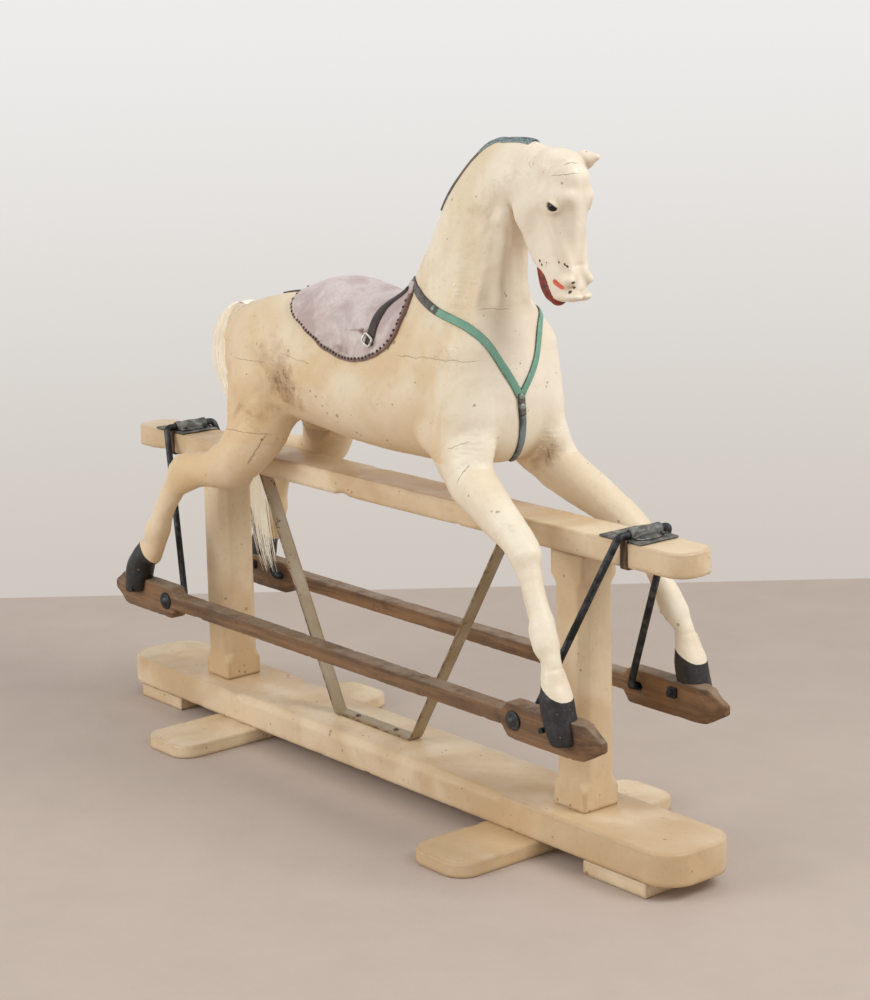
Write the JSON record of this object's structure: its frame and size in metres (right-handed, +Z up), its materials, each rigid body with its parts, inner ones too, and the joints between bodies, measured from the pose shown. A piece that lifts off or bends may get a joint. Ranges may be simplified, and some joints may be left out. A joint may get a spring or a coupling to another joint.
{
  "type": "rocking horse",
  "caption": "Carved, cream-painted wooden rocking horse with saddle and leather straps, its hoof rails hung on swing irons from the top rail of a posted safety stand.",
  "frame": {"origin": "bottom centre of the bounding box, on the floor under the middle of the stand", "axes": "+X forward to the horse's head, +Y to the horse's left, +Z up"},
  "size_m": [1.35, 0.43, 1.0088],
  "materials": {
    "stand_paint": "aged cream paint",
    "brace_iron": "speckled cream paint",
    "black_iron": "blackened",
    "bare_wood": "bare, oiled",
    "horse_paint": "crackled ivory paint",
    "eye_glass": "polished",
    "mane_leather": "tooled, worn",
    "saddle_hide": "worn hide",
    "green_leather": "worn green paint",
    "stud_metal": "dull",
    "brown_leather": "worn",
    "plug_wood": "turned",
    "horsehair": "white horsehair"
  },
  "bodies": {
    "stand": {"base_board": "stand_paint", "rear_cross_foot": "stand_paint", "front_cross_foot": "stand_paint", "rear_end_pad": "stand_paint", "front_end_pad": "stand_paint", "rear_post": "stand_paint", "front_post": "stand_paint", "top_rail": "stand_paint", "brace_strap": "brace_iron", "brace_screws": "black_iron", "foot_screws": "black_iron", "rear_bracket_plate": "black_iron", "front_bracket_plate": "black_iron", "rear_bearing_cap": "black_iron", "front_bearing_cap": "black_iron", "rear_rail_straps": "black_iron", "front_rail_straps": "black_iron", "cap_screws": "black_iron"},
    "rear_iron": {"rear_swing_iron": "black_iron", "rear_iron_washers": "black_iron"},
    "front_iron": {"front_swing_iron": "black_iron", "front_iron_washers": "black_iron"},
    "horse": {"right_hoof_rail": "bare_wood", "left_hoof_rail": "bare_wood", "hoof_bolts": "black_iron", "hoof_nuts": "black_iron", "body_upper": "horse_paint", "body_lower": "horse_paint", "neck": "horse_paint", "head": "horse_paint", "right_foreleg": "horse_paint", "left_foreleg": "horse_paint", "right_hind_leg": "horse_paint", "left_hind_leg": "horse_paint", "glass_eyes": "eye_glass", "mane_strip": "mane_leather", "saddle": "saddle_hide", "breast_strap": "green_leather", "strap_studs": "stud_metal", "right_stirrup_leather": "brown_leather", "left_stirrup_leather": "brown_leather", "leather_buckles": "stud_metal", "crupper_strap": "brown_leather", "tail_plug": "plug_wood", "tail_hair": "horsehair"}
  },
  "joints": [
    {"name": "rear_swing", "type": "hinge", "parent": "stand", "child": "rear_iron", "pos_m": [-0.545, 0, 0.48655], "axis": [0, 1, 0], "range_deg": [-12, 12]},
    {"name": "front_swing", "type": "hinge", "parent": "stand", "child": "front_iron", "pos_m": [0.561, 0, 0.48655], "axis": [0, 1, 0], "range_deg": [-12, 12]},
    {"name": "horse_pitch", "type": "hinge", "parent": "rear_iron", "child": "horse", "pos_m": [-0.42786, 0, 0.22345], "axis": [0, 1, 0], "range_deg": [-15.3, 15.3]}
  ],
  "couplings": [
    {"joint": "front_swing", "follows": "rear_swing", "ratio": 1},
    {"joint": "horse_pitch", "follows": "rear_swing", "ratio": -1.266}
  ]
}
